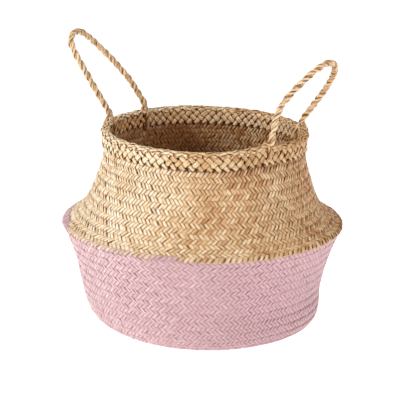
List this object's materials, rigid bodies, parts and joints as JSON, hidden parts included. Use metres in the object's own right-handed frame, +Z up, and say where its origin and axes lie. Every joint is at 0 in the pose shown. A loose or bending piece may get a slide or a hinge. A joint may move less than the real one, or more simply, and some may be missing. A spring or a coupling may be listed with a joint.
{
  "type": "seagrass storage basket",
  "caption": "Plaited seagrass belly basket with a painted lower bowl, a fold at its widest line, a neck that folds down into it, a braided rim and twisted rope handles.",
  "frame": {"origin": "centre of the bowl's flat base, on the floor", "axes": "+Z up, out of the mouth; +X to the right and -Y to the front as the basket is shown, with one handle at back left and one at right"},
  "size_m": [0.35, 0.35, 0.3581],
  "materials": {
    "seagrass": "natural plaited seagrass, satin",
    "painted_seagrass": "plaited seagrass with matte pale pink paint",
    "seagrass_rim": "natural braided seagrass, satin",
    "seagrass_rope": "twisted seagrass rope, matte"
  },
  "bodies": {
    "bowl": {"base_mat": "seagrass", "lower_wall": "painted_seagrass", "shoulder_wall": "seagrass"},
    "neck": {"neck_wall": "seagrass", "rim_core": "seagrass_rim", "rim_cap_braid": "seagrass_rim", "rim_outer_braid": "seagrass_rim", "rim_inner_braid": "seagrass_rim", "left_front_tail_outer": "seagrass_rope", "left_front_tail_inner": "seagrass_rope", "left_back_tail_outer": "seagrass_rope", "left_back_tail_inner": "seagrass_rope", "right_front_tail_outer": "seagrass_rope", "right_front_tail_inner": "seagrass_rope", "right_back_tail_outer": "seagrass_rope", "right_back_tail_inner": "seagrass_rope"},
    "left_handle": {"left_handle_strand_1": "seagrass_rope", "left_handle_strand_2": "seagrass_rope"},
    "right_handle": {"right_handle_strand_1": "seagrass_rope", "right_handle_strand_2": "seagrass_rope"}
  },
  "joints": [
    {"name": "neck_collapse", "type": "slide", "parent": "bowl", "child": "neck", "axis": [0, 0, -1], "range_m": [0, 0.1], "deforming": ["shoulder_wall"]},
    {"name": "left_handle_swing", "type": "hinge", "parent": "neck", "child": "left_handle", "pos_m": [-0.09243, 0.06345, 0.25461], "axis": [-0.5445, -0.8387, 0.0143], "range_deg": [-83, 50]},
    {"name": "right_handle_swing", "type": "hinge", "parent": "neck", "child": "right_handle", "pos_m": [0.10367, -0.03487, 0.24948], "axis": [0.3337, 0.9426, -0.0087], "range_deg": [-79, 54]}
  ]
}
